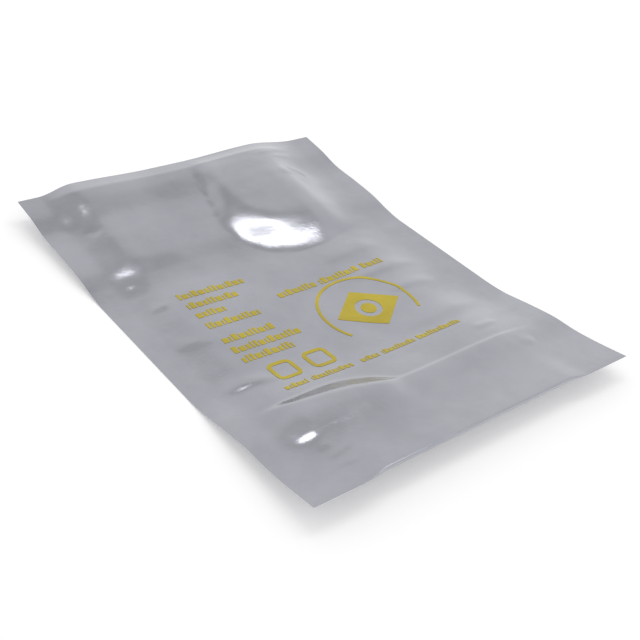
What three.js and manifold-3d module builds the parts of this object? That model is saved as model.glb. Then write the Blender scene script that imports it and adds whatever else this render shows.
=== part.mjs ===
// Static shielding bag: one sheet of metallised film folded at the bottom, heat-sealed
// down both sides and open at the mouth, lying on a table.
// Millimetres. X runs across the bag, Y from the fold to the mouth, Z up from the table.

import * as THREE from "three";
import { mergeVertices } from "three/addons/utils/BufferGeometryUtils.js";
import Module from "manifold-3d";

// The bag when it is pressed flat.
const BAG_WIDTH = 152.4;
const BAG_LENGTH = 203.2;
const FILM = 0.08; // one layer
const SEAL_WIDTH = 9; // heat seal down each side

// Height of the side seals above the table: [distance along the film from that end, height].
const FOLD_CURL = [[0, 9.1], [14, 6.7], [25, 5.4], [36, 4.95], [50, 2.85], [63, 0.6], [75, 0]];
const MOUTH_CURL = [[0, 9.1], [13, 7.4], [25, 4.9], [40, 4.1], [54, 2.9], [64, 1.0], [74, 0]];

// The slack front panel stands up in a soft ridge beside each seal and dips between them.
// Heights are above the seals: [distance from the mouth, height].
const RIDGE_RISE = 15; // from the seal in to the ridge
const DIP_SIDE = 38; // from the ridge in to the dip
const RIDGE_HEIGHTS = [[0, 4.3], [25, 4.4], [50, 3.4], [80, 3.2]];
const MIDDLE_HEIGHTS = [[0, 3.0], [22, 3.4], [45, 1.5], [70, 0.9]];
const RIDGE_START = 38; // distance from the fold at which the ridges are full

// The mouth's rim bends level along a crease, and the back panel hangs open below it.
const RIM_WIDTH = 7.7;
const RIM_DROOP = 1.2;
const RIM_TAPER = 24; // the crease runs out to each corner over this width
const MOUTH_SAG = 4.3;
const SAG_SIDE = 21; // from the seal in to where it hangs full
const SAG_LENGTH = 27;

// A pocket of trapped air under the front panel, beside the mouth.
const POCKET_HEIGHT = 4.6;
const POCKET_LEFT = 5; // across from the centre line to the middle of its left flank
const POCKET_RIGHT = 55;
const POCKET_NEAR = 65; // from the mouth to the middle of its near flank
const POCKET_FLANK = 22;

// The fold is creased flat at the corners and puffs open between them.
const PUFF_HALF = 1.35; // half the gap between the panels
const PUFF_LENGTH = 26;
const CREASED_CORNER = 27; // from the side seam
const PUFF_BLEND = 12;
const FOLD_RETREAT = 1.1; // the puffed part of the fold draws back

// A buckle across the left ridge, with its steep side toward the mouth.
const BUCKLE = { across: -36, fromFold: 42, halfWidth: 30, halfLength: 7, height: 1.5 };

// The print is a thin layer of ink just clear of the film.
const INK = 0.06;
const INK_GAP = 0.05;
const WORD_HEIGHT = 3.8;
const SMALL_WORD_HEIGHT = 2.8;

// Left-hand column: a short word on each line, [distance from the fold, length].
const COLUMN_LEFT = 27.5; // from the left side seam
const COLUMN_LINES = [
  [121.2, 31], [114.4, 23], [107.8, 14], [100.2, 24], [90, 23.5], [83.2, 31.5], [77, 23],
];

// Single lines: [distance from the left side seam, length] of each word.
const TITLE_GAP = 1.05; // from the ring below it
const TITLE_WORDS = [[64.5, 18.5], [85.5, 20], [108, 11]];
const LEFT_NOTE_FROM_FOLD = 54.6;
const LEFT_NOTE_WORDS = [[30, 10], [42, 19]];
const RIGHT_NOTE_FROM_FOLD = 54.4;
const RIGHT_NOTE_WORDS = [[65, 8.5], [75.5, 16], [93.5, 22]];

// An open ring around a pierced diamond with a dot in it.
const EMBLEM_ACROSS = 15.5; // from the centre line
const EMBLEM_FROM_FOLD = 81;
const RING_RADIUS = 20.8;
const RING_STROKE = 1.3;
const RING_START = -28; // degrees from +X
const RING_END = 212;
const DIAMOND_WIDTH = 32;
const DIAMOND_LENGTH = 25;
const DIAMOND_HOLE = 5.6; // radius
const DOT_RADIUS = 3.3;

// Two hollow rounded marks below the column.
const MARK_FROM_FOLD = 65;
const MARKS_ACROSS = [-38.5, -22.5];
const MARK_SIZE = 11;
const MARK_STROKE = 1.7;
const MARK_CORNER = 3;

// How finely the film is faceted.
const COLUMN_STEP = 6.5;
const ROW_STEP = 6.5;
const NOSE_STEPS = 3;
const RIDGE_COLUMNS = 4;
const FOLD_ROWS = 4;
const RIM_ROWS = 4;
const RIM_APPROACH = 30.8; // the last stretch, whose rows lead up to the rim's crease

const wasm = await Module();
wasm.setup();

const clamp01 = (v) => Math.min(1, Math.max(0, v));

function ease(from, to, v) {
  const k = clamp01((v - from) / (to - from));
  return k * k * (3 - 2 * k);
}

// A smooth curve through [distance, value] points, level beyond the last one.
function through(points, distance) {
  const last = points.length - 1;
  if (distance <= points[0][0]) return points[0][1];
  if (distance >= points[last][0]) return points[last][1];
  const i = points.findIndex((p) => p[0] > distance) - 1;
  const slopeAt = (k) => {
    if (k === last) return 0;
    const a = points[Math.max(k - 1, 0)];
    const b = points[k + 1];
    return (b[1] - a[1]) / (b[0] - a[0]);
  };
  const [x0, y0] = points[i];
  const [x1, y1] = points[i + 1];
  const h = x1 - x0;
  const k = (distance - x0) / h;
  const smooth = k * k * (3 - 2 * k);
  const bend = h * k * (1 - k) * ((1 - k) * slopeAt(i) - k * slopeAt(i + 1));
  return y0 + (y1 - y0) * smooth + bend;
}

// Every place on the film is (x, s): x from the centre line, s along the film from the fold.
const sealLine = BAG_WIDTH / 2 - SEAL_WIDTH;

function seamHeight(s) {
  return through(FOLD_CURL, s) + through(MOUTH_CURL, BAG_LENGTH - s);
}

// The film keeps its length as it curls, so its plan is a little shorter.
const planSteps = Math.round(BAG_LENGTH);
const planY = [0];
for (let i = 1; i <= planSteps; i += 1) {
  const ds = BAG_LENGTH / planSteps;
  const rise = seamHeight(i * ds) - seamHeight((i - 1) * ds);
  planY.push(planY[i - 1] + Math.sqrt(ds * ds - rise * rise));
}
const planLength = planY[planSteps];

function yAt(s) {
  const at = clamp01(s / BAG_LENGTH) * planSteps;
  const i = Math.min(Math.floor(at), planSteps - 1);
  return planY[i] + (planY[i + 1] - planY[i]) * (at - i) - planLength / 2;
}

// 0 at the seal, 1 on the ridge and between the ridges.
function ridgeRise(x) {
  return ease(0, RIDGE_RISE, sealLine - Math.abs(x));
}

function dip(x) {
  return ease(0, DIP_SIDE, sealLine - RIDGE_RISE - Math.abs(x));
}

function rimWidth(x) {
  return RIM_WIDTH * clamp01((BAG_WIDTH / 2 - Math.abs(x) + 1) / RIM_TAPER);
}

function puffHalf(x) {
  return PUFF_HALF * ease(0, PUFF_BLEND, BAG_WIDTH / 2 - CREASED_CORNER + PUFF_BLEND / 2 - Math.abs(x));
}

function pocket(x, m) {
  const side = POCKET_FLANK / 2;
  const left = ease(POCKET_LEFT - side, POCKET_LEFT + side, x);
  const right = 1 - ease(POCKET_RIGHT - side, sealLine, x);
  const near = 1 - ease(POCKET_NEAR - side, POCKET_NEAR + side, m);
  const far = ease(0, 2 * POCKET_FLANK, m);
  return POCKET_HEIGHT * left * right * near * far;
}

function buckle(x, s) {
  const across = clamp01(1 - ((x - BUCKLE.across) / BUCKLE.halfWidth) ** 2);
  const along = (s - BUCKLE.fromFold) / BUCKLE.halfLength;
  const rise = ease(-1.6, 0, along) * (1 - ease(0, 0.9, along));
  return BUCKLE.height * across * rise;
}

// How far the front panel's inner face stands above the seal plane.
function frontLift(x, s) {
  const m = BAG_LENGTH - s;
  const ridge = through(RIDGE_HEIGHTS, m);
  const middle = through(MIDDLE_HEIGHTS, m);
  const droop = RIM_DROOP * (1 - clamp01(m / rimWidth(x)));
  const body = ridge + (middle - ridge) * dip(x) + pocket(x, m) + buckle(x, s) - droop;
  const grown = ease(0, RIDGE_START, s);
  const puff = puffHalf(x) * (1 - ease(noseEnd, PUFF_LENGTH, s));
  const least = FILM * (1 - ease(0, PUFF_LENGTH, s));
  return ridgeRise(x) * (body * grown + least) + puff;
}

// How far the back panel's inner face hangs below the seal plane.
function backDrop(x, s) {
  const m = BAG_LENGTH - s;
  const hang = ease(0, SAG_SIDE, sealLine - Math.abs(x));
  const sag = MOUTH_SAG * hang * (1 - ease(0, SAG_LENGTH, m));
  const puff = puffHalf(x) * (1 - ease(noseEnd, PUFF_LENGTH, s));
  return sag + puff;
}

function frontInner(x, s) {
  return seamHeight(s) + FILM + frontLift(x, s);
}

function backInner(x, s) {
  return seamHeight(s) + FILM - backDrop(x, s);
}

// The film is as thick along its normal on a slope as it is on the flat.
function upright(height, x, s) {
  const d = 0.4;
  const gx = (height(x + d, s) - height(x - d, s)) / (2 * d);
  const gs = (height(x, s + d) - height(x, s - d)) / (2 * d);
  return FILM * Math.sqrt(1 + gx * gx + gs * gs);
}

// Even steps from one place up to, but not including, another.
function spread(from, to, count) {
  return Array.from({ length: count }, (_, i) => from + ((to - from) * i) / count);
}

const stepsFor = (length, step) => Math.max(1, Math.round(length / step));

// Columns run from the left seam to the right one, with one on each edge of the seals.
const half = BAG_WIDTH / 2;
const ridgeLine = sealLine - RIDGE_RISE;
const columns = [
  -half,
  ...spread(-sealLine, -ridgeLine, RIDGE_COLUMNS),
  ...spread(-ridgeLine, ridgeLine, stepsFor(2 * ridgeLine, COLUMN_STEP)),
  ...spread(ridgeLine, sealLine, RIDGE_COLUMNS),
  sealLine,
  half,
];
const firstOpen = columns.findIndex((x) => x >= -sealLine - 1e-9);
const lastOpen = columns.length - 1 - firstOpen;

// Rows run from the end of the fold's curve to the mouth, with one on the rim's crease.
const noseEnd = FOLD_RETREAT + 2 * PUFF_HALF;
const rimStart = BAG_LENGTH - RIM_APPROACH;

function bodyRows(x) {
  const crease = BAG_LENGTH - rimWidth(x);
  return [
    ...spread(noseEnd, PUFF_LENGTH, FOLD_ROWS),
    ...spread(PUFF_LENGTH, rimStart, stepsFor(rimStart - PUFF_LENGTH, ROW_STEP)),
    ...spread(rimStart, crease, RIM_ROWS),
    ...spread(crease, BAG_LENGTH, 2),
    BAG_LENGTH,
  ];
}

// A panel's points down one column, from the fold to the mouth: side is 1 for the front
// panel and -1 for the back one. They start with half of the fold's rounded nose.
function panelColumn(x, side, face) {
  const film = face === "outer" ? FILM : 0;
  const inset = face === "outer" ? 0 : FILM;
  const slack = side > 0 ? FILM * ridgeRise(x) : 0;
  const depth = puffHalf(x) + film;
  const retreat = FOLD_RETREAT * ease(0, PUFF_HALF, puffHalf(x));
  const points = [];
  for (let k = 0; k <= NOSE_STEPS; k += 1) {
    const angle = (Math.PI / 2) * (k / NOSE_STEPS);
    const s = retreat + inset + depth * (1 - Math.cos(angle));
    const z = seamHeight(s) + FILM + side * (depth + slack) * Math.sin(angle);
    points.push([x, yAt(s), z]);
  }
  for (const s of bodyRows(x)) {
    const height = side > 0 ? frontInner : backInner;
    const z = height(x, s) + side * (face === "outer" ? upright(height, x, s) : 0);
    points.push([x, yAt(s), z]);
  }
  return points;
}

const rowCount = panelColumn(0, 1, "outer").length;
const frontOuter = columns.map((x) => panelColumn(x, 1, "outer"));
const backOuter = columns.map((x) => panelColumn(x, -1, "outer"));
const frontInside = columns.map((x) => panelColumn(x, 1, "inner"));
const backInside = columns.map((x) => panelColumn(x, -1, "inner"));

// Triangles gathered from quads of points, then welded into one closed skin.
class Skin {
  constructor() {
    this.positions = [];
  }

  triangle(a, b, c) {
    this.positions.push(...a, ...b, ...c);
  }

  quad(a, b, c, d) {
    this.triangle(a, b, c);
    this.triangle(a, c, d);
  }

  // A convex outline as triangles from its first corner.
  fan(corners) {
    for (let k = 1; k < corners.length - 1; k += 1) {
      this.triangle(corners[0], corners[k], corners[k + 1]);
    }
  }

  // A sheet of quads over grid[column][row]; up faces +Z.
  sheet(grid, fromColumn, toColumn, up) {
    for (let i = fromColumn; i < toColumn; i += 1) {
      for (let j = 0; j < grid[i].length - 1; j += 1) {
        const corners = [grid[i][j], grid[i + 1][j], grid[i + 1][j + 1], grid[i][j + 1]];
        if (!up) corners.reverse();
        this.quad(...corners);
      }
    }
  }

  geometry() {
    const loose = new THREE.BufferGeometry();
    loose.setAttribute("position", new THREE.Float32BufferAttribute(this.positions, 3));
    const welded = mergeVertices(loose, 1e-4);
    const kept = [];
    const index = welded.getIndex().array;
    for (let t = 0; t < index.length; t += 3) {
      const [a, b, c] = [index[t], index[t + 1], index[t + 2]];
      if (a !== b && b !== c && c !== a) kept.push(a, b, c);
    }
    welded.setIndex(kept);
    return welded;
  }
}

function filmGeometry() {
  const skin = new Skin();
  const last = columns.length - 1;
  const end = rowCount - 1;
  skin.sheet(frontOuter, 0, last, true);
  skin.sheet(backOuter, 0, last, false);

  // The pouch, whose two faces meet along the fold and the seals.
  const join = (column) => frontInside[column].map((p, j) => backInside[column][j]);
  const ceiling = frontInside.map((points) => points);
  ceiling[firstOpen] = join(firstOpen);
  ceiling[lastOpen] = join(lastOpen);
  for (let i = firstOpen + 1; i < lastOpen; i += 1) {
    ceiling[i] = [backInside[i][0], ...ceiling[i].slice(1)];
  }
  skin.sheet(ceiling, firstOpen, lastOpen, false);
  skin.sheet(backInside, firstOpen, lastOpen, true);

  // The side edges.
  for (let j = 0; j < end; j += 1) {
    skin.quad(backOuter[0][j], frontOuter[0][j], frontOuter[0][j + 1], backOuter[0][j + 1]);
    skin.quad(backOuter[last][j + 1], frontOuter[last][j + 1], frontOuter[last][j], backOuter[last][j]);
  }

  // The cut edges at the mouth: one thick edge at each seal, two thin ones between.
  for (let i = 0; i < last; i += 1) {
    const sealed = i < firstOpen || i >= lastOpen;
    const frontEdge = [frontOuter[i][end], frontOuter[i + 1][end]];
    const backEdge = [backOuter[i][end], backOuter[i + 1][end]];
    if (sealed) {
      const left = i === lastOpen ? [backInside[i][end]] : [];
      const right = i + 1 === firstOpen ? [backInside[i + 1][end]] : [];
      skin.fan([backEdge[1], backEdge[0], ...left, frontEdge[0], frontEdge[1], ...right]);
    } else {
      const top = [ceiling[i][end], ceiling[i + 1][end]];
      const floor = [backInside[i][end], backInside[i + 1][end]];
      skin.quad(top[1], top[0], frontEdge[0], frontEdge[1]);
      skin.quad(backEdge[1], backEdge[0], floor[0], floor[1]);
    }
  }
  return skin.geometry();
}

const filmLook = new THREE.MeshStandardMaterial({ color: 0xa5a7af, roughness: 0.25, metalness: 0.9 });
const inkLook = new THREE.MeshStandardMaterial({ color: 0xc9b42f, roughness: 0.6, metalness: 0 });

const bag = new THREE.Group();

function addMesh(name, geometry, material) {
  const mesh = new THREE.Mesh(geometry, material);
  mesh.name = name;
  bag.add(mesh);
}

addMesh("film_pouch", filmGeometry(), filmLook);

// A closed solid for cutting, from any closed geometry.
function solidFrom(geometry) {
  const bare = geometry.clone();
  bare.deleteAttribute("normal");
  bare.deleteAttribute("uv");
  const welded = mergeVertices(bare, 1e-4);
  return new wasm.Manifold(new wasm.Mesh({
    numProp: 3,
    vertProperties: Float32Array.from(welded.getAttribute("position").array),
    triVerts: Uint32Array.from(welded.getIndex().array),
  }));
}

function geometryFrom(solid) {
  const mesh = solid.getMesh();
  const geometry = new THREE.BufferGeometry();
  geometry.setAttribute("position", new THREE.BufferAttribute(mesh.vertProperties, 3));
  geometry.setIndex(new THREE.BufferAttribute(mesh.triVerts, 1));
  return geometry;
}

// A layer of ink over the whole front, facet for facet above the film.
function inkLayer() {
  const skin = new Skin();
  const last = columns.length - 1;
  const from = NOSE_STEPS + 1;
  const lifted = (points, gap) => points.slice(from).map(([x, y, z]) => [x, y, z + gap]);
  const raised = (gap) => frontOuter.map((points) => lifted(points, gap));
  const low = raised(INK_GAP);
  const high = raised(INK_GAP + INK);
  const end = low[0].length - 1;
  skin.sheet(high, 0, last, true);
  skin.sheet(low, 0, last, false);
  for (let j = 0; j < end; j += 1) {
    skin.quad(low[0][j], high[0][j], high[0][j + 1], low[0][j + 1]);
    skin.quad(low[last][j + 1], high[last][j + 1], high[last][j], low[last][j]);
  }
  for (let i = 0; i < last; i += 1) {
    skin.quad(low[i][0], low[i + 1][0], high[i + 1][0], high[i][0]);
    skin.quad(low[i + 1][end], low[i][end], high[i][end], high[i + 1][end]);
  }
  return solidFrom(skin.geometry());
}
const layer = inkLayer();

// One field of ink, cut from the layer by an outline in plan. The cutter is far taller than
// the bag, so it passes right through the layer.
function addPrint(name, shape) {
  const depth = BAG_WIDTH;
  const prism = new THREE.ExtrudeGeometry(shape, { depth, bevelEnabled: false, curveSegments: 10 });
  prism.translate(0, 0, -depth / 2);
  addMesh(name, geometryFrom(layer.intersect(solidFrom(prism))), inkLook);
}

function bar(left, middleY, length, height) {
  const shape = new THREE.Shape();
  shape.moveTo(left, middleY - height / 2);
  shape.lineTo(left + length, middleY - height / 2);
  shape.lineTo(left + length, middleY + height / 2);
  shape.lineTo(left, middleY + height / 2);
  shape.closePath();
  return shape;
}

COLUMN_LINES.forEach(([fromFold, length], i) => {
  const outline = bar(-half + COLUMN_LEFT, yAt(fromFold), length, WORD_HEIGHT);
  addPrint(`print_column_${i + 1}`, outline);
});

function addLine(name, words, fromFold, height) {
  words.forEach(([left, length], i) => {
    addPrint(`${name}_${i + 1}`, bar(-half + left, yAt(fromFold), length, height));
  });
}
const ringTop = EMBLEM_FROM_FOLD + RING_RADIUS + RING_STROKE / 2;
addLine("print_title", TITLE_WORDS, ringTop + TITLE_GAP + WORD_HEIGHT / 2, WORD_HEIGHT);
addLine("print_left_note", LEFT_NOTE_WORDS, LEFT_NOTE_FROM_FOLD, SMALL_WORD_HEIGHT);
addLine("print_right_note", RIGHT_NOTE_WORDS, RIGHT_NOTE_FROM_FOLD, SMALL_WORD_HEIGHT);

const emblemY = yAt(EMBLEM_FROM_FOLD);
const degrees = Math.PI / 180;

const ring = new THREE.Shape();
const ringFrom = RING_START * degrees;
const ringTo = RING_END * degrees;
ring.absarc(EMBLEM_ACROSS, emblemY, RING_RADIUS + RING_STROKE / 2, ringFrom, ringTo, false);
ring.absarc(EMBLEM_ACROSS, emblemY, RING_RADIUS - RING_STROKE / 2, ringTo, ringFrom, true);
addPrint("print_ring", ring);

const diamond = new THREE.Shape();
diamond.moveTo(EMBLEM_ACROSS - DIAMOND_WIDTH / 2, emblemY);
diamond.lineTo(EMBLEM_ACROSS, emblemY - DIAMOND_LENGTH / 2);
diamond.lineTo(EMBLEM_ACROSS + DIAMOND_WIDTH / 2, emblemY);
diamond.lineTo(EMBLEM_ACROSS, emblemY + DIAMOND_LENGTH / 2);
diamond.closePath();
const pierced = new THREE.Path();
pierced.absarc(EMBLEM_ACROSS, emblemY, DIAMOND_HOLE, 0, 2 * Math.PI, true);
diamond.holes.push(pierced);
addPrint("print_diamond", diamond);

const dot = new THREE.Shape();
dot.absarc(EMBLEM_ACROSS, emblemY, DOT_RADIUS, 0, 2 * Math.PI, false);
addPrint("print_dot", dot);

// A rounded square as a path, centred on (x, y).
function roundedSquare(path, x, y, size, corner) {
  const r = size / 2 - corner;
  path.absarc(x + r, y + r, corner, 0, Math.PI / 2, false);
  path.absarc(x - r, y + r, corner, Math.PI / 2, Math.PI, false);
  path.absarc(x - r, y - r, corner, Math.PI, 1.5 * Math.PI, false);
  path.absarc(x + r, y - r, corner, 1.5 * Math.PI, 2 * Math.PI, false);
  path.closePath();
  return path;
}

MARKS_ACROSS.forEach((x, i) => {
  const y = yAt(MARK_FROM_FOLD);
  const mark = roundedSquare(new THREE.Shape(), x, y, MARK_SIZE, MARK_CORNER);
  const inside = MARK_SIZE - 2 * MARK_STROKE;
  mark.holes.push(roundedSquare(new THREE.Path(), x, y, inside, MARK_CORNER - MARK_STROKE));
  addPrint(`print_mark_${i + 1}`, mark);
});

export default bag;
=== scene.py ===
"""The static shielding bag: a thin folded film with its print, on a pale table.

Sizes are in millimetres here and become metres when a mesh is made. A place on the film
is (x, s): x across from the centre line, s along the film from the fold to the mouth.
"""

import math

import bpy
import numpy as np
from mathutils import Matrix, Vector


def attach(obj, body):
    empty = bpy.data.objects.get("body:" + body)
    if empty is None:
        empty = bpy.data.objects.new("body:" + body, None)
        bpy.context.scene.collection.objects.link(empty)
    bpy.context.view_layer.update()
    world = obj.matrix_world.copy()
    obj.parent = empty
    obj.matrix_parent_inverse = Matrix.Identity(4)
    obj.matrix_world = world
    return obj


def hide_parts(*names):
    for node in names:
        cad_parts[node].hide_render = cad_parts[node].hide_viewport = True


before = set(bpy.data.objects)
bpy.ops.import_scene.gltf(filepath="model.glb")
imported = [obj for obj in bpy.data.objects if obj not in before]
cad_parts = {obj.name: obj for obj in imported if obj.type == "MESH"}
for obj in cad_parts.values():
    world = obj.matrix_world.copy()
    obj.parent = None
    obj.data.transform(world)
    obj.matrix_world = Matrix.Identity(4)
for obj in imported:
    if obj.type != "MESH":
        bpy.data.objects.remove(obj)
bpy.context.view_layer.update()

MM = 0.001

# The bag, with the sizes of the CAD model.
BAG_WIDTH = 152.4
BAG_LENGTH = 203.2
FILM = 0.08
SEAL_LINE = BAG_WIDTH / 2 - 9  # the seals' inner edges are at plus and minus this
FOLD_CURL = [(0, 9.1), (14, 6.7), (25, 5.4), (36, 4.95), (50, 2.85), (63, 0.6), (75, 0)]
MOUTH_CURL = [(0, 9.1), (13, 7.4), (25, 4.9), (40, 4.1), (54, 2.9), (64, 1.0), (74, 0)]
RIDGE_RISE = (15, 27)  # on the left and on the right
DIP_SIDE = 38
RIDGE_HEIGHTS = [(0, 5.0), (25, 3.9), (50, 2.4), (80, 1.9)]
MIDDLE_HEIGHTS = [(0, 3.7), (22, 3.2), (45, 1.5), (70, 0.9)]
RIDGE_START = 38
RIM_WIDTH = 7.7
RIM_DROOP = 1.9
RIM_TAPER = 24
MOUTH_SAG = 4.3
SAG_SIDE = 21
SAG_LENGTH = 27
POCKET_HEIGHT = 4.8
# The foot and brow of the pocket's left flank are (distance from the mouth, x), and those of
# its near flank are (x, distance from the mouth).
LEFT_FOOT = [(6, 3), (22, 1), (35, -2), (48, -5), (64, 0), (75, 7)]
LEFT_BROW = [(6, 12), (22, 9), (40, 9), (57, 16), (75, 24)]
NEAR_FOOT = [(-10, 72), (7, 75), (29, 76), (40, 73), (60, 69)]
NEAR_BROW = [(-10, 40), (8, 46), (20, 54), (32, 58), (50, 59), (60, 60)]
POCKET_END = (32, 60)
POCKET_FADE = 30
BULGE_POWER = 0.62  # under 1, so a flank is steepest near its foot
PUFF_HALF = 0.9
PUFF_LENGTH = 26
CREASED_CORNER = 27
PUFF_BLEND = 12
FOLD_RETREAT = 1.1
NOSE_END = FOLD_RETREAT + 2 * PUFF_HALF

# Small creases in the front panel: both ends as (x, s), then half width and height.
CREASES = [
    ((22, 100), (56, 100), 2.6, 0.68),
    ((32, 86), (54, 85), 2.0, 0.5),
    ((18, 116), (50, 118), 3.0, 0.55),
    ((14, 62), (58, 65), 4.2, 1.0),
    ((40, 45.5), (52, 46.5), 1.3, 0.34),
    ((48, 29), (55, 28), 1.5, 0.34),
    ((35.5, 191), (56.5, 194.6), 1.2, 0.3),
    ((44, 188), (55, 189), 1.0, 0.25),
    ((38, 176), (53, 172), 2.0, 0.35),
    ((-60, 174), (-57, 169), 1.4, -0.3),
    ((-63, 146), (-54.5, 144), 2.0, 0.12),
    ((-56, 149), (-28, 146), 6.5, 0.32),
    ((-63, 137), (-58, 137), 1.3, 0.25),
    ((-61, 119), (-54, 119), 1.2, 0.34),
    ((-71, 97), (-46, 91), 2.2, 0.25),
    ((-61.5, 95.5), (-56, 94), 1.2, 0.12),
    ((-63, 66), (-45, 63), 2.0, 0.7),
    ((-60.5, 29), (-53, 28.5), 1.3, 0.3),
    ((-56, 29.3), (-38.6, 28.8), 1.1, 0.08),
    ((-57, 22), (-53, 21), 1.0, 0.2),
    ((-57, 16), (-46, 18), 1.0, 0.2),
    ((-57, 12), (-49, 10.5), 1.0, 0.2),
]

FAR_SIDE = 2.2  # how many times wider a crease is on the side toward the mouth
CREASE_TIP = (-0.15, 0.3)  # where a crease starts and is full, as shares of its length
CREASES_FROM_FOLD = 10  # they are at full height from here on
CREASES_FROM_SEAL = 4

# A buckle across the left ridge: its crest and the foot of its far side as (x, s).
BUCKLE_CREST = [(-68, 48), (-52, 43.5), (-30, 38), (-18, 35), (-6, 36)]
BUCKLE_FOOT = [(-68, 50), (-52, 49), (-30, 50), (-18, 46), (-6, 38)]
BUCKLE_SLOPE = 0.35
BUCKLE_BACK = 40
STEEPEST = 1.5  # the steepest part of an ease, as a multiple of its mean slope
SLOPE_STEP = 0.4


def ease(low, high, value):
    """From 0 at low to 1 at high, level at both ends."""
    k = np.clip((value - low) / (high - low), 0, 1)
    return k * k * (3 - 2 * k)


def bulge(foot, brow, value):
    """A flank that is steepest near its foot and rounds over to level at its brow."""
    k = np.clip((value - foot) / (brow - foot), 0, 1) ** BULGE_POWER
    return k * k * (3 - 2 * k)


def through(points, distance):
    """A smooth curve through (distance, value) points, level beyond the last one."""
    x, y = np.array(points, float).T
    last = len(x) - 1
    before = np.maximum(np.arange(last) - 1, 0)
    slope = np.append((y[1:] - y[before]) / (x[1:] - x[before]), 0)
    distance = np.clip(distance, x[0], x[-1])
    i = np.clip(np.searchsorted(x, distance, side="right") - 1, 0, last - 1)
    h = x[i + 1] - x[i]
    k = (distance - x[i]) / h
    bend = h * k * (1 - k) * ((1 - k) * slope[i] - k * slope[i + 1])
    return y[i] + (y[i + 1] - y[i]) * k * k * (3 - 2 * k) + bend


def seam_height(s):
    """How high the seals' under side curls off the table."""
    return through(FOLD_CURL, s) + through(MOUTH_CURL, BAG_LENGTH - s)


# The film keeps its length as it curls, so its plan is a little shorter.
plan_s = np.linspace(0, BAG_LENGTH, round(BAG_LENGTH) + 1)
plan_rise = np.diff(seam_height(plan_s))
plan_y = np.append(0, np.cumsum(np.sqrt(np.diff(plan_s) ** 2 - plan_rise**2)))
plan_y -= plan_y[-1] / 2


def y_at(s):
    return np.interp(s, plan_s, plan_y)


def s_at(y):
    return np.interp(y, plan_y, plan_s)


def rise_width(x):
    """How far in from a seal its ridge reaches full height."""
    return np.where(x < 0, *RIDGE_RISE)


def ridge_rise(x):
    return ease(0, rise_width(x), SEAL_LINE - np.abs(x))


def rim_width(x):
    """The front panel's bent rim along the mouth, which runs out at the corners."""
    return RIM_WIDTH * np.clip((BAG_WIDTH / 2 - np.abs(x) + 1) / RIM_TAPER, 0, 1)


def puff_half(x):
    """Half the height of the fold, which is pressed flat at both corners."""
    inward = BAG_WIDTH / 2 - CREASED_CORNER + PUFF_BLEND / 2 - np.abs(x)
    return PUFF_HALF * ease(0, PUFF_BLEND, inward)


def pocket(x, m):
    """The trapped air beside the mouth; m is the distance from the mouth."""
    left = bulge(through(LEFT_FOOT, m), through(LEFT_BROW, m), x)
    near = bulge(through(NEAR_FOOT, x), through(NEAR_BROW, x), m)
    right = 1 - ease(*POCKET_END, x)
    return POCKET_HEIGHT * left * near * right * ease(0, POCKET_FADE, m)


def buckle(x, s):
    """The wide swell that ends in a steep far side."""
    crest = through(BUCKLE_CREST, x)
    foot = through(BUCKLE_FOOT, x)
    height = BUCKLE_SLOPE * (foot - crest) / STEEPEST
    return height * ease(crest - BUCKLE_BACK, crest, s) * (1 - ease(crest, foot, s))


def creases(x, s):
    """The height of all small creases together."""
    tip, full = CREASE_TIP
    total = 0
    for start, end, half_width, height in CREASES:
        run = np.subtract(end, start)
        length = math.hypot(*run)
        along = ((x - start[0]) * run[0] + (s - start[1]) * run[1]) / length**2
        aside = ((s - start[1]) * run[0] - (x - start[0]) * run[1]) / length
        tips = ease(tip, full, along) * (1 - ease(1 - full, 1 - tip, along))
        reach = np.where(aside < 0, half_width, FAR_SIDE * half_width)
        total = total + height * tips * np.exp(-((aside / reach) ** 2))
    return total


def front_lift(x, s):
    """How far the front panel's inner face stands above the seals."""
    m = BAG_LENGTH - s
    ridge = through(RIDGE_HEIGHTS, m)
    middle = through(MIDDLE_HEIGHTS, m)
    dip = ease(0, DIP_SIDE, SEAL_LINE - rise_width(x) - np.abs(x))
    droop = RIM_DROOP * (1 - np.clip(m / rim_width(x), 0, 1))
    body = ridge + (middle - ridge) * dip + pocket(x, m) + buckle(x, s) - droop
    grown = ease(0, RIDGE_START, s)
    puff = puff_half(x) * (1 - ease(NOSE_END, PUFF_LENGTH, s))
    least = FILM * (1 - ease(0, PUFF_LENGTH, s))
    inside_seal = ease(0, CREASES_FROM_SEAL, SEAL_LINE - np.abs(x))
    small = creases(x, s) * ease(NOSE_END, CREASES_FROM_FOLD, s) * inside_seal
    return ridge_rise(x) * (body * grown + least) + puff + small


def back_drop(x, s):
    """How far the back panel's inner face hangs below the seals."""
    hang = ease(0, SAG_SIDE, SEAL_LINE - np.abs(x))
    sag = MOUTH_SAG * hang * (1 - ease(0, SAG_LENGTH, BAG_LENGTH - s))
    return sag + puff_half(x) * (1 - ease(NOSE_END, PUFF_LENGTH, s))


def front_inner(x, s):
    return seam_height(s) + FILM + front_lift(x, s)


def back_inner(x, s):
    return seam_height(s) + FILM - back_drop(x, s)


def upright(height, x, s):
    """The film's thickness measured straight up."""
    d = SLOPE_STEP
    gx = (height(x + d, s) - height(x - d, s)) / (2 * d)
    gs = (height(x, s + d) - height(x, s - d)) / (2 * d)
    return FILM * np.sqrt(1 + gx * gx + gs * gs)


def front_outer(x, s):
    return front_inner(x, s) + upright(front_inner, x, s)


# The film's grid has closer columns over the ridges, where the creases are.
NOSE_STEPS = 6
BODY_ROWS = 194
RIM_START_ROWS = 22
RIM_ROWS = 10
MIDDLE_HALF = 26
SEAL_COLUMNS = 6
RIDGE_COLUMNS = 33
MIDDLE_COLUMNS = 27
SHARP_EDGE = 50  # degrees

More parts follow.
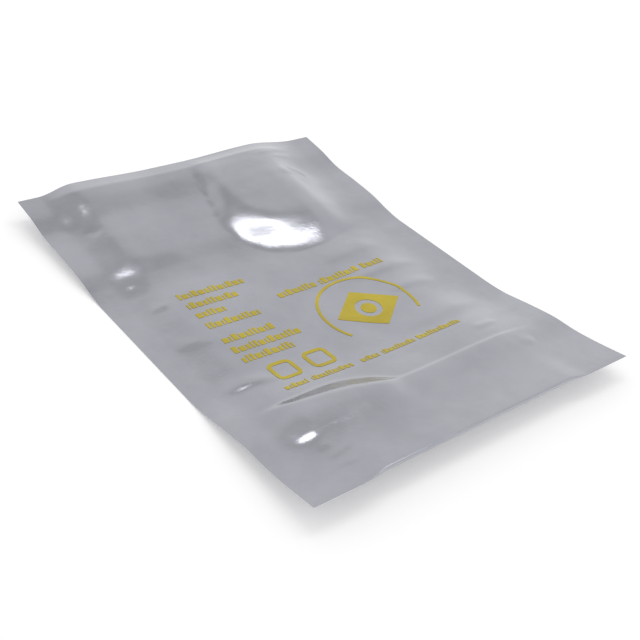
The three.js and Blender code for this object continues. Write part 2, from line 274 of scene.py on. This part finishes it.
columns = np.concatenate([
    np.linspace(-BAG_WIDTH / 2, -SEAL_LINE, SEAL_COLUMNS)[:-1],
    np.linspace(-SEAL_LINE, -MIDDLE_HALF, RIDGE_COLUMNS)[:-1],
    np.linspace(-MIDDLE_HALF, MIDDLE_HALF, MIDDLE_COLUMNS)[:-1],
    np.linspace(MIDDLE_HALF, SEAL_LINE, RIDGE_COLUMNS)[:-1],
    np.linspace(SEAL_LINE, BAG_WIDTH / 2, SEAL_COLUMNS),
])


def body_rows(x):
    """s of each row after the nose, with rows along the rim's crease."""
    crease = BAG_LENGTH - rim_width(x)
    start = BAG_LENGTH - 4 * RIM_WIDTH
    return np.concatenate([
        np.linspace(NOSE_END, start, BODY_ROWS)[:-1],
        np.linspace(start, crease, RIM_START_ROWS)[:-1],
        np.linspace(crease, BAG_LENGTH, RIM_ROWS),
    ])


def skin(side, outer):
    """Points [column, row] of one face of a panel; side is 1 for the front, -1 for the back."""
    x = columns[:, None]
    film = FILM if outer else 0
    inset = 0 if outer else FILM
    slack = FILM * ridge_rise(x) if side > 0 else 0
    depth = puff_half(x) + film
    retreat = FOLD_RETREAT * ease(0, PUFF_HALF, puff_half(x))
    angle = np.linspace(0, math.pi / 2, NOSE_STEPS + 1)[None, :]
    nose_s = retreat + inset + depth * (1 - np.cos(angle))
    nose_z = seam_height(nose_s) + FILM + side * (depth + slack) * np.sin(angle)
    s = np.array([body_rows(value) for value in columns])
    height = front_inner if side > 0 else back_inner
    z = height(x, s) + (side * upright(height, x, s) if outer else 0)
    s = np.concatenate([nose_s, s], axis=1)
    z = np.concatenate([nose_z, z], axis=1)
    return np.stack([np.broadcast_to(x, s.shape), y_at(s), z], axis=2)


def mesh_object(name, points, faces):
    """One smooth object from points in millimetres, sharp along its cut edges."""
    mesh = bpy.data.meshes.new(name)
    mesh.from_pydata((np.asarray(points) * MM).tolist(), [], faces)
    mesh.validate()
    mesh.shade_smooth()
    mesh.set_sharp_from_angle(angle=math.radians(SHARP_EDGE))
    piece = bpy.data.objects.new(name, mesh)
    bpy.context.scene.collection.objects.link(piece)
    return piece


def film_pouch():
    """The folded film, closed all round: two panels, each with an outer and an inner face."""
    faces_of = [skin(1, True), skin(-1, True), skin(1, False), skin(-1, False)]
    count, rows = faces_of[0].shape[:2]
    ids = np.arange(4 * count * rows).reshape(4, count, rows)
    first = int(np.argmin(np.abs(columns + SEAL_LINE)))
    last = count - 1 - first
    ids[1, :, 0] = ids[0, :, 0]  # the panels meet at the fold
    ids[2, :, 0] = ids[3, :, 0]
    ids[2, first] = ids[3, first]  # and at the seals
    ids[2, last] = ids[3, last]
    quads = []

    def sheet(grid, up):
        a, b, c, d = grid[:-1, :-1], grid[1:, :-1], grid[1:, 1:], grid[:-1, 1:]
        turn = [a, b, c, d] if up else [d, c, b, a]
        quads.extend(np.stack(turn, axis=2).reshape(-1, 4).tolist())

    front, back, ceiling, ground = ids
    sheet(front, True)
    sheet(back, False)
    outside = len(quads)
    sheet(ceiling[first:last + 1], False)
    sheet(ground[first:last + 1], True)
    inside = len(quads)
    sheet(np.stack([back[0], front[0]]), True)
    sheet(np.stack([front[-1], back[-1]]), True)
    over, under, top, bottom = ids[:, :, rows - 1].tolist()  # the mouth's edges
    for i in range(count - 1):
        j = i + 1
        if i < first or i >= last:
            left = [bottom[i]] if i == last else []
            right = [bottom[j]] if j == first else []
            quads.append([under[j], under[i], *left, over[i], over[j], *right])
        else:
            quads.append([top[j], top[i], over[i], over[j]])
            quads.append([under[j], under[i], bottom[i], bottom[j]])
    faces = [[int(v) for v in dict.fromkeys(quad)] for quad in quads]
    kept = [n for n, face in enumerate(faces) if len(face) > 2]
    points = np.concatenate([grid.reshape(-1, 3) for grid in faces_of])
    used, packed = np.unique([v for n in kept for v in faces[n]], return_inverse=True)
    packed = iter(packed.tolist())
    piece = mesh_object("film", points[used], [[next(packed) for _ in faces[n]] for n in kept])
    for polygon, n in zip(piece.data.polygons, kept):
        polygon.material_index = 1 if outside <= n < inside else 0
    return piece


# The print. Each patch is a grid of (x, y) laid on the film.
INK = 0.05
INK_GAP = 0.04
INK_STEP = 0.8
COLUMN_LEFT = 27.5
# Lines of the left column as (s, length), and the words of other lines as (from the left, length).
COLUMN_LINES = [(121.2, 31), (114.4, 23), (107.8, 14), (100.2, 24), (90, 23.5), (83.2, 31.5), (77, 23)]
TITLE_FROM_FOLD = 105.4
TITLE_WORDS = [(64.5, 18.5), (85.5, 20), (108, 11)]
LEFT_NOTE_FROM_FOLD = 54.6
LEFT_NOTE_WORDS = [(30, 10), (42, 19)]
RIGHT_NOTE_FROM_FOLD = 54.4
RIGHT_NOTE_WORDS = [(65, 8.5), (75.5, 16), (93.5, 22)]
WORD_HEIGHT = 3.8
SMALL_WORD_HEIGHT = 2.8
EMBLEM_ACROSS = 15.5
EMBLEM_FROM_FOLD = 81
RING_RADIUS = 20.8
RING_STROKE = 1.3
RING_START = -28
RING_END = 212
DIAMOND_WIDTH = 32
DIAMOND_LENGTH = 25
DIAMOND_HOLE = 5.6
DOT_RADIUS = 3.3
MARKS_ACROSS = [-38.5, -22.5]
MARK_FROM_FOLD = 65
MARK_SIZE = 11
MARK_STROKE = 1.7
MARK_CORNER = 3

# Blocks that stand for a printed line, as (width, height) shares of the line's height.
BLOCKS = [(0.34, 1), (0.62, 0.76), (0.24, 0.76), (0.56, 1), (0.68, 0.76), (0.4, 0.76), (0.28, 1)]
BLOCK_GAP = 0.17
LEAST_BLOCK = 0.1
LEAST_ROOM = 0.2


def band(first, last, steps):
    """A grid between two lines of (x, y) points."""
    k = np.linspace(0, 1, steps + 1)[:, None, None]
    return np.asarray(first)[None] * (1 - k) + np.asarray(last)[None] * k


def block(left, low, right, high):
    x = np.linspace(left, right, 1 + max(1, round((right - left) / INK_STEP)))
    steps = max(1, round((high - low) / INK_STEP))
    return band([(v, low) for v in x], [(v, high) for v in x], steps), False


def word(left, middle, length, height, shift):
    """A row of blocks of that length, which takes its blocks in turn."""
    patches = []
    low = middle - 0.5 * height
    at = left
    n = shift
    while at < left + length - LEAST_ROOM * height:
        wide, tall = BLOCKS[n % len(BLOCKS)]
        right = min(at + wide * height, left + length)
        if right - at > LEAST_BLOCK * height:
            patches.append(block(at, low, right, middle + (tall - 0.5) * height))
        at += (wide + BLOCK_GAP) * height
        n += 1
    return patches


def arc(radius, angles):
    centre = np.array([EMBLEM_ACROSS, y_at(EMBLEM_FROM_FOLD)])
    return centre + radius * np.stack([np.cos(angles), np.sin(angles)], axis=1)


def ring():
    angles = np.radians(np.linspace(RING_START, RING_END, 110))
    inner = arc(RING_RADIUS - RING_STROKE / 2, angles)
    return [(band(inner, arc(RING_RADIUS + RING_STROKE / 2, angles), 2), False)]


def diamond():
    angles = np.radians(np.arange(0, 360, 3))
    across = np.abs(np.cos(angles)) * 2 / DIAMOND_WIDTH
    along = np.abs(np.sin(angles)) * 2 / DIAMOND_LENGTH
    reach = 1 / (across + along)
    edge = arc(reach[:, None], angles)
    return [(band(arc(DIAMOND_HOLE, angles), edge, 12), True)]


def dot():
    angles = np.radians(np.arange(0, 360, 10))
    return [(band(arc(0.05, angles), arc(DOT_RADIUS, angles), 4), True)]


def rounded_square(x, y, size, corner):
    """Points round a square with rounded corners, the same number for any size."""
    reach = size / 2 - corner
    points = []
    for quarter, (sx, sy) in enumerate([(1, 1), (-1, 1), (-1, -1), (1, -1)]):
        for angle in np.radians(np.linspace(0, 90, 9) + 90 * quarter):
            right = x + sx * reach + corner * math.cos(angle)
            high = y + sy * reach + corner * math.sin(angle)
            points.append((right, high))
    dense = []
    for a, b in zip(points, points[1:] + points[:1]):
        steps = 8 if math.dist(a, b) > 0.5 * reach else 1
        for k in range(steps):
            right = a[0] + (b[0] - a[0]) * k / steps
            high = a[1] + (b[1] - a[1]) * k / steps
            dense.append((right, high))
    return dense


def mark(x):
    y = y_at(MARK_FROM_FOLD)
    outer = rounded_square(x, y, MARK_SIZE, MARK_CORNER)
    inner = rounded_square(x, y, MARK_SIZE - 2 * MARK_STROKE, MARK_CORNER - MARK_STROKE)
    return [(band(inner, outer, 2), True)]


def ink_piece(name, node, patches):
    """Thin closed slabs of ink that follow the film, as one piece."""
    points = []
    faces = []
    for grid, closed in patches:
        rows, count = grid.shape[:2]
        x, y = grid[..., 0], grid[..., 1]
        film = front_outer(x, s_at(y))
        base = sum(len(p) for p in points)
        for lift in (INK_GAP + INK, INK_GAP):
            points.append(np.stack([x, y, film + lift], axis=2).reshape(-1, 3))
        top = base + np.arange(rows * count).reshape(rows, count)
        if closed:
            top = np.concatenate([top, top[:, :1]], axis=1)
        low = top + rows * count
        walls = [(top[0], low[0]), (low[-1], top[-1])]
        if not closed:
            walls += [(low[:, 0], top[:, 0]), (top[:, -1], low[:, -1])]
        for sheet in [top, low[:, ::-1]] + [np.stack(wall) for wall in walls]:
            a, b, c, d = sheet[:-1, :-1], sheet[:-1, 1:], sheet[1:, 1:], sheet[1:, :-1]
            faces.extend(np.stack([a, b, c, d], axis=2).reshape(-1, 4).tolist())
    piece = mesh_object(name, np.concatenate(points), faces)
    piece.data.materials.append(ink)
    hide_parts(node)
    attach(piece, "root")
    return piece


class Nodes:
    """Short calls for building a node tree."""

    def __init__(self, tree):
        self.tree = tree
        self.tree.nodes.clear()

    def add(self, kind, **values):
        node = self.tree.nodes.new(kind)
        for name, value in values.items():
            setattr(node, name, value)
        return node

    def link(self, out, into):
        self.tree.links.new(out, into)

    def fill(self, node, values):
        for name, value in values.items():
            if isinstance(value, bpy.types.NodeSocket):
                self.link(value, node.inputs[name])
            else:
                node.inputs[name].default_value = value
        return node

    def noise(self, place, scale, detail=4, roughness=0.55):
        node = self.fill(self.add("ShaderNodeTexNoise"), {
            "Vector": place, "Scale": scale, "Detail": detail, "Roughness": roughness})
        return node.outputs["Fac"]

    def spread(self, value, low, high, from_low=0.3, from_high=0.7):
        """value from its own range to low and high."""
        node = self.fill(self.add("ShaderNodeMapRange", interpolation_type="SMOOTHSTEP"), {
            "Value": value, "From Min": from_low, "From Max": from_high, "To Min": low, "To Max": high})
        return node.outputs["Result"]

    def sum(self, a, b):
        node = self.add("ShaderNodeMath", operation="ADD")
        self.link(a, node.inputs[0])
        self.link(b, node.inputs[1])
        return node.outputs[0]

    def mix(self, factor, a, b):
        node = self.add("ShaderNodeMix", data_type="RGBA")
        self.link(factor, node.inputs["Factor"])
        node.inputs["A"].default_value = (*a, 1)
        node.inputs["B"].default_value = (*b, 1)
        return node.outputs["Result"]

    def bump(self, height, distance, strength=1.0, under=None):
        node = self.fill(self.add("ShaderNodeBump"), {
            "Height": height, "Distance": distance, "Strength": strength})
        if under is not None:
            self.link(under, node.inputs["Normal"])
        return node.outputs["Normal"]

    def principled(self, values):
        shader = self.fill(self.add("ShaderNodeBsdfPrincipled"), values)
        out = self.add("ShaderNodeOutputMaterial")
        self.link(shader.outputs[0], out.inputs["Surface"])
        return shader


def material(name):
    made = bpy.data.materials.new(name)
    made.use_nodes = True
    return made, Nodes(made.node_tree)


def place_on(nodes, stretch=(1, 1, 1)):
    """Object coordinates in metres, stretched."""
    place = nodes.add("ShaderNodeTexCoord").outputs["Object"]
    mapping = nodes.add("ShaderNodeMapping")
    nodes.link(place, mapping.inputs["Vector"])
    mapping.inputs["Scale"].default_value = stretch
    return mapping.outputs["Vector"]


# Colours are in linear light, as (dark, light).
OUTSIDE_COLOURS = ((0.39, 0.396, 0.436), (0.442, 0.448, 0.49))
# The inner face's paler grey is partly the inner layer's own less metallic finish and partly painted
# light, standing in for the light that comes in through the thin film.
INSIDE_TONE_AND_PAINTED_LIGHT = ((0.50, 0.505, 0.52), (0.56, 0.565, 0.58))
INK_COLOURS = ((0.44, 0.342, 0.014), (0.53, 0.42, 0.02))
TABLE_COLOURS = ((0.90, 0.90, 0.90), (0.92, 0.92, 0.92))
TABLE_GLOW = 0.2


def film_finish(name, colours, rough, coat, metal):
    """Metallised film: cloudy metal, faintly crinkled across the bag, under a clear coat."""
    made, nodes = material(name)
    even = place_on(nodes)
    across = place_on(nodes, (1, 1.8, 1))
    cloud = nodes.noise(even, 30, 5, 0.65)
    grain = nodes.noise(even, 700, 4, 0.65)
    crinkle = nodes.noise(across, 55, 4, 0.55)
    colour = nodes.mix(nodes.spread(cloud, 0, 1), *colours)
    roughness = nodes.spread(cloud, rough - 0.03, rough + 0.04)
    swell = nodes.bump(crinkle, 0.0003, 0.4)
    nodes.principled({
        "Base Color": colour,
        "Metallic": metal,
        "Roughness": roughness,
        "Normal": nodes.bump(grain, 0.00006, 0.7, swell),
        "Coat Weight": coat,
        "Coat Roughness": 0.12,
        "Coat IOR": 1.5,
    })
    return made


def ink_finish():
    made, nodes = material("ink")
    place = place_on(nodes)
    wear = nodes.noise(place, 420, 4, 0.65)
    tone = nodes.noise(place, 60, 3)
    colour = nodes.mix(nodes.spread(tone, 0, 1), *INK_COLOURS)
    nodes.principled({
        "Base Color": colour,
        "Metallic": 0.0,
        "Roughness": nodes.spread(wear, 0.42, 0.6),
        "Normal": nodes.bump(wear, 0.00003, 0.5),
        "Specular IOR Level": 0.5,
    })
    return made


def floor_finish():
    """A pale table that shows as white to the eye and in reflections, and keeps its shadows."""
    made, nodes = material("table")
    place = place_on(nodes)
    grain = nodes.noise(place, 240, 4)
    colour = nodes.mix(grain, *TABLE_COLOURS)
    shader = nodes.principled({
        "Base Color": colour,
        "Roughness": 0.9,
        "Normal": nodes.bump(grain, 0.00005, 0.2),
        "Specular IOR Level": 0.2,
    })
    path = nodes.add("ShaderNodeLightPath").outputs
    mirrored = nodes.sum(path["Is Glossy Ray"], path["Is Transmission Ray"])
    seen = nodes.sum(path["Is Camera Ray"], mirrored)
    white = nodes.fill(nodes.add("ShaderNodeEmission"), {
        "Color": (1, 1, 1, 1), "Strength": nodes.spread(seen, 0, TABLE_GLOW, 0, 1)})
    both = nodes.add("ShaderNodeAddShader")
    nodes.link(shader.outputs[0], both.inputs[0])
    nodes.link(white.outputs[0], both.inputs[1])
    out = next(node for node in nodes.tree.nodes if node.type == "OUTPUT_MATERIAL")
    nodes.link(both.outputs[0], out.inputs["Surface"])
    return made


ink = ink_finish()

film = film_pouch()
film.data.materials.append(film_finish("film_outside", OUTSIDE_COLOURS, 0.19, 0.35, 1.0))
# The inner face's paler grey is partly painted light, for the light that comes in through the thin film.
film.data.materials.append(film_finish("film_inside", INSIDE_TONE_AND_PAINTED_LIGHT, 0.4, 0.0, 0.3))
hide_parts("film_pouch")
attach(film, "root")

left_seam = -BAG_WIDTH / 2
for n, (from_fold, length) in enumerate(COLUMN_LINES):
    blocks = word(left_seam + COLUMN_LEFT, y_at(from_fold), length, WORD_HEIGHT, 2 * n)
    ink_piece(f"ink_column_{n + 1}", f"print_column_{n + 1}", blocks)
LINES = [
    ("title", TITLE_WORDS, TITLE_FROM_FOLD, WORD_HEIGHT),
    ("left_note", LEFT_NOTE_WORDS, LEFT_NOTE_FROM_FOLD, SMALL_WORD_HEIGHT),
    ("right_note", RIGHT_NOTE_WORDS, RIGHT_NOTE_FROM_FOLD, SMALL_WORD_HEIGHT),
]
for line, words, from_fold, height in LINES:
    for n, (left, length) in enumerate(words):
        blocks = word(left_seam + left, y_at(from_fold), length, height, n + 1)
        ink_piece(f"ink_{line}_{n + 1}", f"print_{line}_{n + 1}", blocks)
ink_piece("ink_ring", "print_ring", ring())
ink_piece("ink_diamond", "print_diamond", diamond())
ink_piece("ink_dot", "print_dot", dot())
for n, across in enumerate(MARKS_ACROSS):
    ink_piece(f"ink_mark_{n + 1}", f"print_mark_{n + 1}", mark(across))

# The table, the light and the camera, in metres.
TABLE_RADIUS = 4
TABLE_TOP = (0, 0, -0.0001)
LAMP_SIZE = (0.72, 0.14)
LAMP_ENERGY = 1.0
LAMP_PLACE = (0.17, 0.09, 0.7)
LAMP_TURN = -28  # degrees
# The studio is white at the horizon and darker overhead: (sine of the elevation, brightness).
SKY = [(0.0, 1.0), (0.2, 1.0), (0.45, 0.9), (0.68, 0.86), (0.83, 0.64), (1.0, 0.64)]

bpy.ops.mesh.primitive_circle_add(vertices=96, radius=TABLE_RADIUS, fill_type="NGON", location=TABLE_TOP)
table = bpy.context.object
table.name = "table"
table.data.materials.append(floor_finish())

lamp_data = bpy.data.lights.new("overhead", "AREA")
lamp_data.shape = "RECTANGLE"
lamp_data.size, lamp_data.size_y = LAMP_SIZE
lamp_data.energy = LAMP_ENERGY
lamp = bpy.data.objects.new("overhead", lamp_data)
bpy.context.scene.collection.objects.link(lamp)
lamp.location = LAMP_PLACE
lamp.rotation_euler = (0, 0, math.radians(LAMP_TURN))

world = bpy.data.worlds.new("studio")
bpy.context.scene.world = world
world.use_nodes = True
sky = Nodes(world.node_tree)
direction = sky.add("ShaderNodeTexCoord").outputs["Generated"]
parts = sky.add("ShaderNodeSeparateXYZ")
sky.link(direction, parts.inputs[0])
ramp = sky.add("ShaderNodeValToRGB")
ramp.color_ramp.interpolation = "EASE"
while len(ramp.color_ramp.elements) < len(SKY):
    ramp.color_ramp.elements.new(0.5)
for element, (position, level) in zip(ramp.color_ramp.elements, SKY):
    element.position = position
    element.color = (level, level, level, 1)
sky.link(parts.outputs["Z"], ramp.inputs["Fac"])
background = sky.add("ShaderNodeBackground")
sky.link(ramp.outputs["Color"], background.inputs["Color"])
sky_out = sky.add("ShaderNodeOutputWorld")
sky.link(background.outputs[0], sky_out.inputs["Surface"])

# The camera stands off the fold's left corner, and its picture leans by the roll. Angles are
# in degrees, the lens and the sensor in millimetres.
AZIMUTH = -43.43
ELEVATION = 35.18
ROLL = 9.01
DISTANCE = 0.40119
LOOK_AT = Vector((-0.005909, -0.016365, 0))
LENS = 57.70
SENSOR = 36

azimuth, elevation, roll = (math.radians(v) for v in (AZIMUTH, ELEVATION, ROLL))
level = math.cos(elevation)
back = Vector((math.sin(azimuth) * level, -math.cos(azimuth) * level, math.sin(elevation)))
level_right = (-back).cross(Vector((0, 0, 1))).normalized()
level_up = level_right.cross(-back)
right = level_right * math.cos(roll) + level_up * math.sin(roll)
up = level_up * math.cos(roll) - level_right * math.sin(roll)
camera_data = bpy.data.cameras.new("camera")
camera_data.sensor_width = SENSOR
camera_data.lens = LENS
camera = bpy.data.objects.new("camera", camera_data)
bpy.context.scene.collection.objects.link(camera)
turn = Matrix((right, up, back)).transposed().to_4x4()
camera.matrix_world = Matrix.Translation(LOOK_AT + back * DISTANCE) @ turn
bpy.context.scene.camera = camera
bpy.context.scene.view_settings.view_transform = "Standard"
